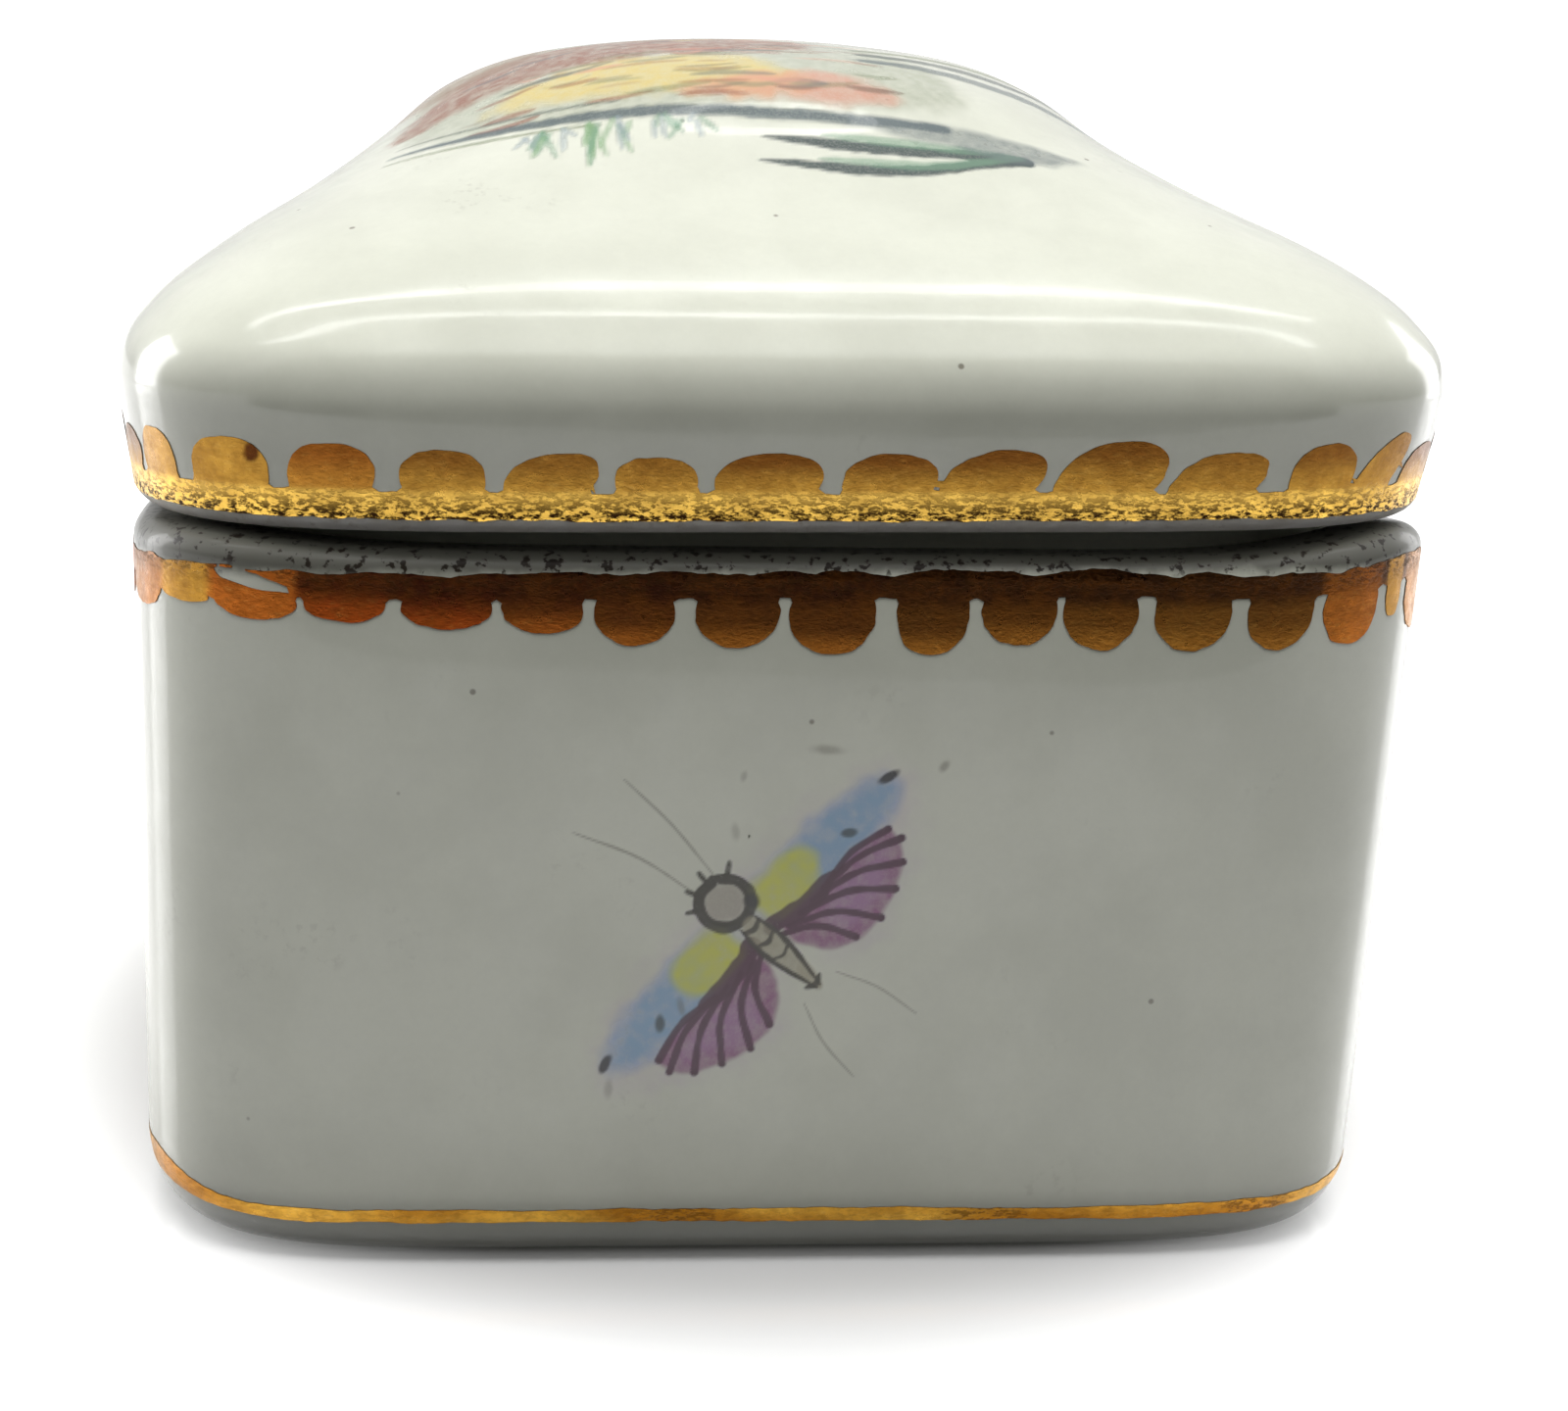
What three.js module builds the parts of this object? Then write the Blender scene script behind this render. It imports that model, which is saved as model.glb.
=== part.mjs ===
// Porcelain trinket box: a deep base and a domed lid that lifts straight off.
// Units are millimetres and +Z is up. The origin is the centre of the foot, on the
// surface that the box stands on. The front faces -Y, and the box is longest along Y.
//
// Each piece is a closed profile turned round the Z axis, whose circular rings are
// then pressed into Lame curves (superellipses): nearly square with bowed sides on
// the walls, softening to an oval at the top of the dome.

import * as THREE from "three";

// Driving dimensions. A half width is half the outline across X at one height.
const LID_HALF_WIDTH = 33.7;
const LENGTH_PER_WIDTH = 1.1;
const TURN_SEGMENTS = 64;
const CURVE_STEPS = 3;
const WALL_THICKNESS = 3.0;

const BASE_HEIGHT = 36.6;
const BASE_HALF_WIDTH = 32.7;
const BASE_SQUARENESS = 7.0;
const BASE_TAPER = 0.3;
const BOTTOM_INSET = 2.4;
const BOTTOM_HEIGHT = 4.0;
const FOOT_RING_WIDTH = 3.4;
const FOOT_RECESS = 0.9;
const FLOOR_THICKNESS = 3.2;
const FLOOR_FILLET = 3.0;
const RIM_OUTER_RADIUS = 1.1;
const RIM_INNER_RADIUS = 0.6;

// The firing left the rim out of true.
const SEAT_RISE_PER_WIDTH = 0.031;
const RIM_SAG = 0.8;
const RIM_SAG_SKEW = 0.4;
const WARP_REACH = 9.0;

const SEAT_GAP = 0.3;
const LIP_HALF_WIDTH = 33.1;
const LIP_RADIUS = 0.9;
const LID_SQUARENESS = 5.4;
const DOME_SQUARENESS = 2.3;
const DOME_SHIFT = -1.2;
const FLANGE_DEPTH = 3.0;
const FLANGE_THICKNESS = 2.2;
const FLANGE_CLEARANCE = 0.6;
const SEAT_THICKNESS = 1.2;
const CROWN_STEPS = 20;
const WALL_PLAN_HEIGHT = 3.0;

const MOUTH_HALF_WIDTH = BASE_HALF_WIDTH - WALL_THICKNESS;
const LID_SEAT = BASE_HEIGHT + SEAT_GAP;

// The outside of the lid, from the bowed wall over the round shoulder and up the
// ogee to the top of the dome: [half width, height above the seat].
const CROWN = [
  [33.35, 2.6],
  [33.62, 4.6],
  [LID_HALF_WIDTH, 6.2],
  [33.4, 7.6],
  [32.6, 8.8],
  [31.0, 10.4],
  [28.0, 12.5],
  [24.0, 14.8],
  [20.2, 17.4],
  [16.8, 20.1],
  [12.6, 21.8],
  [6.8, 22.7],
  [0.0, 23.0],
];

const PORCELAIN = { color: 0xdfe0d8, roughness: 0.18, metalness: 0 };

const { lerp, smoothstep } = THREE.MathUtils;

// One coordinate of a unit Lame curve: the sine or cosine of the turn, squared up.
// Rounding noise beside 0 is dropped, because the power would enlarge it.
function squaredUp(value, squareness) {
  if (Math.abs(value) < 1e-6) return 0;
  return Math.sign(value) * Math.abs(value) ** (2 / squareness);
}

// Turns a closed profile round Z, then presses its rings from circles to Lame curves.
// plan(halfWidth, height) gives a ring's squareness and its shift along X, and
// lift(corner, x, height) raises a point, where corner is 0 in the middle of a side
// and 1 at a corner of the outline.
function turnAndPress(profile, plan, lift) {
  const geometry = new THREE.LatheGeometry(profile, TURN_SEGMENTS).rotateX(Math.PI / 2);
  const position = geometry.getAttribute("position");
  const point = new THREE.Vector3();
  for (let i = 0; i < position.count; i++) {
    point.fromBufferAttribute(position, i);
    const halfWidth = Math.hypot(point.x, point.y);
    const cosine = halfWidth > 0 ? point.x / halfWidth : 0;
    const sine = halfWidth > 0 ? point.y / halfWidth : 0;
    const { squareness, shift } = plan(halfWidth, point.z);
    const x = halfWidth * squaredUp(cosine, squareness) + shift;
    const y = halfWidth * LENGTH_PER_WIDTH * squaredUp(sine, squareness);
    const corner = (2 * sine * cosine) ** 2;
    position.setXYZ(i, x, y, point.z + lift(corner, x, point.z));
  }
  geometry.computeVertexNormals();
  return geometry;
}

function porcelainMesh(name, geometry) {
  const mesh = new THREE.Mesh(geometry, new THREE.MeshStandardMaterial(PORCELAIN));
  mesh.name = name;
  return mesh;
}

// The base: recessed underside, foot ring, rounded bottom edge, slightly flared
// wall, rounded rim, inner wall and filleted floor.
function baseProfile() {
  const footHalfWidth = BASE_HALF_WIDTH - BASE_TAPER;
  const footOuter = footHalfWidth - BOTTOM_INSET;
  const footInner = footOuter - FOOT_RING_WIDTH;
  const floorHeight = FOOT_RECESS + FLOOR_THICKNESS;
  const wallTop = BASE_HEIGHT - WARP_REACH;
  const path = new THREE.Path();
  path.moveTo(0, FOOT_RECESS);
  path.lineTo(footInner - FOOT_RECESS, FOOT_RECESS);
  path.lineTo(footInner, 0);
  path.lineTo(footOuter, 0);
  path.absellipse(footOuter, BOTTOM_HEIGHT, BOTTOM_INSET, BOTTOM_HEIGHT, -Math.PI / 2, 0, false);
  path.lineTo(BASE_HALF_WIDTH - BASE_TAPER / 3, wallTop);
  path.lineTo(BASE_HALF_WIDTH, BASE_HEIGHT - RIM_OUTER_RADIUS);
  path.absarc(
    BASE_HALF_WIDTH - RIM_OUTER_RADIUS,
    BASE_HEIGHT - RIM_OUTER_RADIUS,
    RIM_OUTER_RADIUS,
    0,
    Math.PI / 2,
    false,
  );
  path.absarc(
    MOUTH_HALF_WIDTH + RIM_INNER_RADIUS,
    BASE_HEIGHT - RIM_INNER_RADIUS,
    RIM_INNER_RADIUS,
    Math.PI / 2,
    Math.PI,
    false,
  );
  path.lineTo(MOUTH_HALF_WIDTH, wallTop);
  path.lineTo(MOUTH_HALF_WIDTH, floorHeight + FLOOR_FILLET);
  path.absarc(
    MOUTH_HALF_WIDTH - FLOOR_FILLET,
    floorHeight + FLOOR_FILLET,
    FLOOR_FILLET,
    0,
    -Math.PI / 2,
    true,
  );
  path.lineTo(0, floorHeight);
  return path.getPoints(CURVE_STEPS);
}

// The rim climbs towards +X, and it sags between its four corners, most on the +X half.
function rimLift(corner, x, height) {
  const nearRim = smoothstep(height, BASE_HEIGHT - WARP_REACH, BASE_HEIGHT);
  const sag = RIM_SAG * (1 - corner) * (1 + (RIM_SAG_SKEW * x) / BASE_HALF_WIDTH);
  return (SEAT_RISE_PER_WIDTH * x - sag) * nearRim;
}

function base() {
  const plan = () => ({ squareness: BASE_SQUARENESS, shift: 0 });
  return porcelainMesh("base", turnAndPress(baseProfile(), plan, rimLift));
}

// The inside of the crown follows the outside, about one wall thickness within it.
function crownInside() {
  const shrink = 1 - WALL_THICKNESS / LID_HALF_WIDTH;
  const shoulderAndDome = CROWN.slice(4).reverse();
  return shoulderAndDome.map(
    ([halfWidth, height]) =>
      new THREE.Vector2(halfWidth * shrink, LID_SEAT + height - WALL_THICKNESS),
  );
}

// The locating flange that drops into the mouth, the flat seat and the rounded lip.
function seatAndLip() {
  const flangeOuter = MOUTH_HALF_WIDTH - FLANGE_CLEARANCE;
  const flangeInner = flangeOuter - FLANGE_THICKNESS;
  const flangeFoot = LID_SEAT - FLANGE_DEPTH;
  const flangeRadius = FLANGE_THICKNESS / 2;
  const path = new THREE.Path();
  path.moveTo(flangeInner, LID_SEAT + SEAT_THICKNESS);
  path.lineTo(flangeInner, flangeFoot + flangeRadius);
  path.absarc(
    flangeInner + flangeRadius,
    flangeFoot + flangeRadius,
    flangeRadius,
    Math.PI,
    2 * Math.PI,
    false,
  );
  path.lineTo(flangeOuter, LID_SEAT);
  path.lineTo(LIP_HALF_WIDTH - LIP_RADIUS, LID_SEAT);
  path.absarc(
    LIP_HALF_WIDTH - LIP_RADIUS,
    LID_SEAT + LIP_RADIUS,
    LIP_RADIUS,
    -Math.PI / 2,
    0,
    false,
  );
  return path.getPoints(CURVE_STEPS);
}

function lidProfile() {
  const outside = new THREE.SplineCurve(
    CROWN.map(([halfWidth, height]) => new THREE.Vector2(halfWidth, LID_SEAT + height)),
  );
  return [...crownInside(), ...seatAndLip(), ...outside.getPoints(CROWN_STEPS)];
}

// Square on the upright wall, softening to an oval on the dome, which stands a
// little to one side of the middle.
function lidPlan(halfWidth, height) {
  const onWall = height < LID_SEAT + WALL_PLAN_HEIGHT;
  const spread = onWall ? 1 : halfWidth / LID_HALF_WIDTH;
  return {
    squareness: lerp(DOME_SQUARENESS, LID_SQUARENESS, smoothstep(spread, 0.45, 0.95)),
    shift: DOME_SHIFT * (1 - smoothstep(spread, 0.5, 0.93)),
  };
}

function lid() {
  const lift = (corner, x) => SEAT_RISE_PER_WIDTH * x;
  return porcelainMesh("lid", turnAndPress(lidProfile(), lidPlan, lift));
}

const trinketBox = new THREE.Group();
trinketBox.name = "trinket_box";
trinketBox.add(base(), lid());

export default trinketBox;
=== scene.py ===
"""Looks of the porcelain trinket box: glaze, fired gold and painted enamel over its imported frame.

Every length is in millimetres and MM turns it into metres. The box stands on z = 0, the butterfly
is on the -Y side, and the lid is at rest on the base.
"""

import math

import bpy
import numpy as np
from mathutils import Matrix, Vector


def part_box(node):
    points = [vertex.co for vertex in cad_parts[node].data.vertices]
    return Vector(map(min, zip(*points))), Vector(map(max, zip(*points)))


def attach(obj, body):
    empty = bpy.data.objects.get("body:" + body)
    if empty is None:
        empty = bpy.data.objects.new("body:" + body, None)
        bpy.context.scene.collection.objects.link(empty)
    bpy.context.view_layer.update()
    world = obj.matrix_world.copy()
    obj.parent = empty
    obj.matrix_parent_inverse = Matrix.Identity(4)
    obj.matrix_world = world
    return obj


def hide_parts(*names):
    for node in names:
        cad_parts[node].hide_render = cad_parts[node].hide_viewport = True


MM = 0.001
SEED = 41

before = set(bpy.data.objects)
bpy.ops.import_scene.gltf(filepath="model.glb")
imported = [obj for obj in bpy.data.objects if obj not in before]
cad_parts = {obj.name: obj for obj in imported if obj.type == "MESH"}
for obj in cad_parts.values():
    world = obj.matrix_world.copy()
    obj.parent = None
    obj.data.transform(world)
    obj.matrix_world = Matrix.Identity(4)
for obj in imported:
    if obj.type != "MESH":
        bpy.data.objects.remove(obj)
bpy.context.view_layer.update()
_, lid_high = (np.array(corner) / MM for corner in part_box("lid"))
base_low, base_high = (np.array(corner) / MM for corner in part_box("base"))

# ---------------------------------------------------------------- sizes

LENGTH_PER_WIDTH = base_high[1] / base_high[0]
COLUMNS = 440  # steps round the box

BASE_HALF = base_high[0]
BASE_SQUARENESS = 7.0
BASE_TAPER = 0.3
BOTTOM_INSET = 2.4
BOTTOM_HEIGHT = 4.0
WALL = 3.0
FOOT_WIDTH = 3.4
FOOT_RECESS = 0.9
FLOOR_THICKNESS = 3.2
FLOOR_FILLET = 3.0
RIM_OUTER_RADIUS = 1.1
RIM_INNER_RADIUS = 0.6

LID_HALF = lid_high[0]
LIP_INSET = 0.6
LIP_HALF = LID_HALF - LIP_INSET
LID_SQUARENESS = 5.4
DOME_SQUARENESS = 2.3
DOME_SHIFT = -1.2
CROWN_HEIGHT = 23.0
WALL_PLAN_HEIGHT = 3.0
LIP_RADIUS = 0.9
FLANGE_DEPTH = 3.0
FLANGE_THICKNESS = 2.2
FLANGE_CLEARANCE = 0.6
SEAT_THICKNESS = 1.2

RISE = 0.031  # the seat climbs towards +X by this share of x
RIM_SAG = 0.8
SAG_SKEW = 0.4
WARP_REACH = 9.0
SEAT_GAP = 0.3

SEAT = lid_high[2] - RISE * DOME_SHIFT - CROWN_HEIGHT
RIM = SEAT - SEAT_GAP
MOUTH_HALF = BASE_HALF - WALL

# half width of the lid and height above its seat, from the bowed wall to the top of the crown
CROWN = [
    (33.35, 2.6), (33.62, 4.6), (LID_HALF, 6.2), (33.4, 7.6), (32.6, 8.8), (31.0, 10.4), (28.0, 12.5),
    (24.0, 14.8), (20.2, 17.4), (16.8, 20.1), (12.6, 21.8), (6.8, 22.7), (0.0, CROWN_HEIGHT),
]


# ---------------------------------------------------------------- curves and noise


def smoothstep(value, low, high):
    t = np.clip((value - low) / (high - low), 0.0, 1.0)
    return t * t * (3.0 - 2.0 * t)


def blend(a, b, share):
    return a + (b - a) * share


def smooth_line(points, steps, closed=False):
    """A curve through the points, with the given number of steps between neighbours."""
    points = np.array(points, float)
    if closed:
        padded = np.vstack([points[-1:], points, points[:2]])
    else:
        first = 2 * points[0] - points[1]
        last = 2 * points[-1] - points[-2]
        padded = np.vstack([first, points, last])
    t = (np.arange(steps) / steps)[:, None]
    spans = []
    for p0, p1, p2, p3 in zip(padded, padded[1:], padded[2:], padded[3:]):
        bend = 2 * p0 - 5 * p1 + 4 * p2 - p3
        twist = 3 * p1 - p0 - 3 * p2 + p3
        spans.append(0.5 * (2 * p1 + (p2 - p0) * t + bend * t**2 + twist * t**3))
    if not closed:
        spans.append(points[-1:])
    return np.vstack(spans)


def arc(centre, radius, start_deg, end_deg, steps=10):
    """Points on a circle, or on an ellipse if radius is a pair."""
    angles = np.radians(np.linspace(start_deg, end_deg, steps + 1))
    ring = np.stack([np.cos(angles), np.sin(angles)], axis=1)
    return np.array(centre) + np.array(radius) * ring


def divide(points, step):
    """The same line with extra points, so that none are further apart than step."""
    points = np.array(points, float)
    made = [points[:1]]
    for a, b in zip(points, points[1:]):
        count = max(1, math.ceil(np.linalg.norm(b - a) / step))
        made.append(a + (b - a) * (np.arange(1, count + 1) / count)[:, None])
    return np.vstack(made)


def ripple(x, y, seed):
    """Smooth random values from -1 to 1 whose features are about one unit wide."""
    table = np.random.default_rng(seed).uniform(-1, 1, (64, 64))
    column, row = np.floor(x).astype(int), np.floor(y).astype(int)
    u, v = x - column, y - row
    u, v = u * u * (3 - 2 * u), v * v * (3 - 2 * v)

    def corner(i, j):
        return table[(column + i) % 64, (row + j) % 64]

    lower = blend(corner(0, 0), corner(1, 0), u)
    upper = blend(corner(0, 1), corner(1, 1), u)
    return blend(lower, upper, v)


def linear(red, green, blue):
    """A colour given as it looks on a screen, from 0 to 255, as the light values nodes use."""
    value = np.array([red, green, blue]) / 255.0
    return np.where(value <= 0.04045, value / 12.92, ((value + 0.055) / 1.055) ** 2.4)


# ---------------------------------------------------------------- the two shells


def oval(angle, squareness):
    """Reach of the unit Lame curve at a turn angle, and how near that is to a corner, 0 to 1."""
    across = np.abs(np.cos(angle)) ** squareness
    along = np.abs(np.sin(angle)) ** squareness
    total = across + along
    return total ** (-1.0 / squareness), 4.0 * across * along / total**2


def base_point(angle, half, height):
    reach, corner = oval(angle, BASE_SQUARENESS)
    x = half * reach * np.cos(angle)
    y = half * LENGTH_PER_WIDTH * reach * np.sin(angle)
    near_rim = smoothstep(height, RIM - WARP_REACH, RIM)
    sag = RIM_SAG * (1 - corner) * (1 + SAG_SKEW * x / BASE_HALF)
    return np.stack([x, y, height + (RISE * x - sag) * near_rim], axis=-1)


def lid_outline(half, climb):
    """Squareness and sideways shift of the lid's outline, for a half width at a height above the seat."""
    spread = np.where(climb < WALL_PLAN_HEIGHT, 1.0, half / LID_HALF)
    squareness = blend(DOME_SQUARENESS, LID_SQUARENESS, smoothstep(spread, 0.45, 0.95))
    shift = DOME_SHIFT * (1 - smoothstep(spread, 0.5, 0.93))
    return squareness, shift


def lid_point(angle, half, height):
    squareness, shift = lid_outline(half, height - SEAT)
    reach, _ = oval(angle, squareness)
    x = half * reach * np.cos(angle) + shift
    y = half * LENGTH_PER_WIDTH * reach * np.sin(angle)
    return np.stack([x, y, height + RISE * x], axis=-1)


def base_profile():
    foot_outer = BASE_HALF - BASE_TAPER - BOTTOM_INSET
    foot_inner = foot_outer - FOOT_WIDTH
    rim_edge = MOUTH_HALF + RIM_INNER_RADIUS
    floor_top = FOOT_RECESS + FLOOR_THICKNESS
    fillet_centre = (MOUTH_HALF - FLOOR_FILLET, floor_top + FLOOR_FILLET)
    return np.vstack([
        [(0.0, FOOT_RECESS)],
        arc((foot_inner - FOOT_RECESS, 0.45), 0.45, 90, 0, 6),
        arc((foot_inner + 0.3, 0.3), 0.3, 180, 270, 5),
        arc((foot_outer, BOTTOM_HEIGHT), (BOTTOM_INSET, BOTTOM_HEIGHT), -90, 0, 20),
        [(BASE_HALF - BASE_TAPER / 3, RIM - WARP_REACH)],
        arc((BASE_HALF - RIM_OUTER_RADIUS, RIM - RIM_OUTER_RADIUS), RIM_OUTER_RADIUS, 0, 90, 12),
        arc((rim_edge, RIM - RIM_INNER_RADIUS), RIM_INNER_RADIUS, 90, 180, 8),
        arc(fillet_centre, FLOOR_FILLET, 0, -90, 12),
        [(0.0, floor_top)],
    ])


def over_the_top(crown, steps):
    """The crown as a smooth curve that is level where it reaches the axis."""
    mirrored = (-crown[-2][0], crown[-2][1])
    curve = smooth_line(crown + [mirrored], steps)[: steps * (len(crown) - 1) + 1]
    curve[-1, 0] = 0.0
    return curve


def lid_outer_profile():
    """From the inner edge of the flat seat, round the lip and up to the top of the crown."""
    flange_outer = MOUTH_HALF - FLANGE_CLEARANCE
    lip = arc((LIP_HALF - LIP_RADIUS, SEAT + LIP_RADIUS), LIP_RADIUS, -90, 0, 14)
    crown = over_the_top(CROWN, 9)
    crown[:, 1] += SEAT
    return np.vstack([[(flange_outer, SEAT)], lip, crown])


def lid_inner_profile():
    """From the seat's inner edge, down and round the flange and up to the inside of the crown."""
    flange_outer = MOUTH_HALF - FLANGE_CLEARANCE
    flange_inner = flange_outer - FLANGE_THICKNESS
    bead = FLANGE_THICKNESS / 2
    middle = (flange_outer - bead, SEAT - FLANGE_DEPTH + bead)
    scale = 1 - WALL / LID_HALF
    crown = over_the_top(CROWN[4:], 8)
    inside = np.stack([crown[:, 0] * scale, crown[:, 1] + SEAT - WALL], axis=1)
    return np.vstack([
        [(flange_outer, SEAT)],
        arc(middle, bead, 0, -180, 12),
        [(flange_inner, SEAT + SEAT_THICKNESS)],
        inside,
    ])


def turn_angles(count):
    """Turn angles at equal steps along the outline, starting at the middle of the front."""
    angles = np.linspace(-math.pi / 2, 1.5 * math.pi, 40001)
    outline = base_point(angles, np.full(angles.shape, BASE_HALF), np.zeros(angles.shape))
    length = np.concatenate([[0], np.cumsum(np.linalg.norm(np.diff(outline, axis=0), axis=1))])
    return np.interp(np.arange(count) / count * length[-1], length, angles), length, angles


ANGLES, OUTLINE_LENGTH, OUTLINE_ANGLE = turn_angles(COLUMNS)
ROUND = OUTLINE_LENGTH[-1]


def angle_at(along):
    """The turn angle that lies this far round from the middle of the front, positive towards +X."""
    return np.interp(np.mod(along, ROUND), OUTLINE_LENGTH, OUTLINE_ANGLE)


def along_front(x):
    """How far round from the middle of the front the wall has this x."""
    quarter = OUTLINE_ANGLE <= 0
    front = base_point(OUTLINE_ANGLE[quarter], BASE_HALF, np.zeros(quarter.sum()))[:, 0]
    return np.sign(x) * np.interp(abs(x), front, OUTLINE_LENGTH[quarter])


# ---------------------------------------------------------------- mesh building


def mesh_object(name, points, faces, normals=None):
    """A smooth-shaded mesh from points in millimetres, with its own normals if they are given."""
    mesh = bpy.data.meshes.new(name)
    mesh.from_pydata((np.asarray(points) * MM).tolist(), [], faces)
    mesh.polygons.foreach_set("use_smooth", np.ones(len(mesh.polygons), bool))
    mesh.validate()
    if normals is not None:
        mesh.normals_split_custom_set_from_vertices(normals.tolist())
    piece = bpy.data.objects.new(name, mesh)
    bpy.context.scene.collection.objects.link(piece)
    return piece


def turned_shell(name, profile, place, step):
    """A closed shell turned from a profile that starts and ends on the axis."""
    profile = divide(profile, step)
    rows = profile[1:-1]
    points = place(ANGLES[None, :], rows[:, :1], rows[:, 1:]).reshape(-1, 3)
    ends = [place(np.array([0.0]), np.array([0.0]), end[1:])[0] for end in (profile[0], profile[-1])]
    points = np.vstack([points, ends])
    count, last = COLUMNS, len(rows) - 1
    start_pole, end_pole = len(rows) * count, len(rows) * count + 1
    faces = []
    for i in range(last):
        for j in range(count):
            k = (j + 1) % count
            faces.append((i * count + j, i * count + k, (i + 1) * count + k, (i + 1) * count + j))
    for j in range(count):
        k = (j + 1) % count
        faces.append((start_pole, k, j))
        faces.append((end_pole, last * count + j, last * count + k))
    return mesh_object(name, points, faces)


def surface_normals(place, s, t, gap=0.02):
    """Outward unit normals of a surface given as place(s, t)."""
    across = place(s + gap, t) - place(s - gap, t)
    upward = place(s, t + gap) - place(s, t - gap)
    normal = np.cross(across, upward)
    return normal / np.linalg.norm(normal, axis=-1, keepdims=True)


def settle_on_edge(field, s, t, outside, step):
    """Moves the points just outside a shape onto its edge, so that the edge comes out smooth."""
    gap = 0.01
    for _ in range(2):
        value = field(s, t)
        slope_s = (field(s + gap, t) - field(s - gap, t)) / (2 * gap)
        slope_t = (field(s, t + gap) - field(s, t - gap)) / (2 * gap)
        pull = np.where(outside, -value, 0.0) / np.maximum(slope_s**2 + slope_t**2, 1e-3)
        limit = 0.75 * step
        s = s + np.clip(pull * slope_s, -limit, limit)
        t = t + np.clip(pull * slope_t, -limit, limit)
    return s, t


def film(name, place, s, t, kept, lift, sink):
    """A thin closed skin over a surface, made of the grid cells marked in kept.

    s and t are the grid's surface coordinates, and lift is one height or a height for each grid
    point. A grid that goes right round has as many rows of cells as rows of points.
    """
    rows, columns = s.shape
    closed = kept.shape[0] == rows
    point = place(s, t)
    normal = surface_normals(place, s, t)
    index = np.arange(rows * columns).reshape(rows, columns)
    ahead = np.roll(index, -1, axis=0) if closed else index[1:]
    here = index if closed else index[:-1]
    a, b, c, d = here[:, :-1], ahead[:, :-1], ahead[:, 1:], here[:, 1:]
    gap_s = np.roll(kept, 1, axis=0), np.roll(kept, -1, axis=0)
    before_s, after_s = (g.copy() for g in gap_s)
    if not closed:
        before_s[0] = False
        after_s[-1] = False
    before_t = np.pad(kept, ((0, 0), (1, 0)))[:, :-1]
    after_t = np.pad(kept, ((0, 0), (0, 1)))[:, 1:]
    used = np.zeros(rows * columns, bool)
    for corner in (a, b, c, d):
        used[corner[kept]] = True
    renumber = np.cumsum(used) - 1
    count = int(used.sum())
    a, b, c, d = (renumber[corner] for corner in (a, b, c, d))
    top = np.stack([a, b, c, d], axis=-1)[kept]
    under = top[:, ::-1] + count
    walls = []
    for start, end, neighbour in ((a, b, before_t), (b, c, after_s), (c, d, after_t), (d, a, before_s)):
        edge = kept & ~neighbour
        p, q = start[edge], end[edge]
        walls.append(np.stack([q, p, p + count, q + count], axis=-1))
    faces = np.vstack([top, under, *walls])
    flat_point, flat_normal = point.reshape(-1, 3)[used], normal.reshape(-1, 3)[used]
    raised = np.broadcast_to(lift, s.shape).reshape(-1, 1)[used]
    points = np.vstack([flat_point + flat_normal * raised, flat_point - flat_normal * sink])
    piece = mesh_object(name, points, faces.tolist(), np.vstack([flat_normal, -flat_normal]))
    return piece, used


def cells_with(inside):
    """Cells with at least one corner inside, of a grid that goes right round."""
    either = inside | np.roll(inside, -1, axis=0)
    return either[:, :-1] | either[:, 1:]


def store_colour(piece, name, colour, alpha, used):
    """Keeps a colour and an amount on each point, the same on both faces of the film."""
    values = np.concatenate([colour, alpha[:, None]], axis=1)[used]
    values = np.vstack([values, values]).astype(np.float32)
    attribute = piece.data.attributes.new(name, "FLOAT_COLOR", "POINT")
    attribute.data.foreach_set("color", values.ravel())


# ---------------------------------------------------------------- node materials


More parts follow.
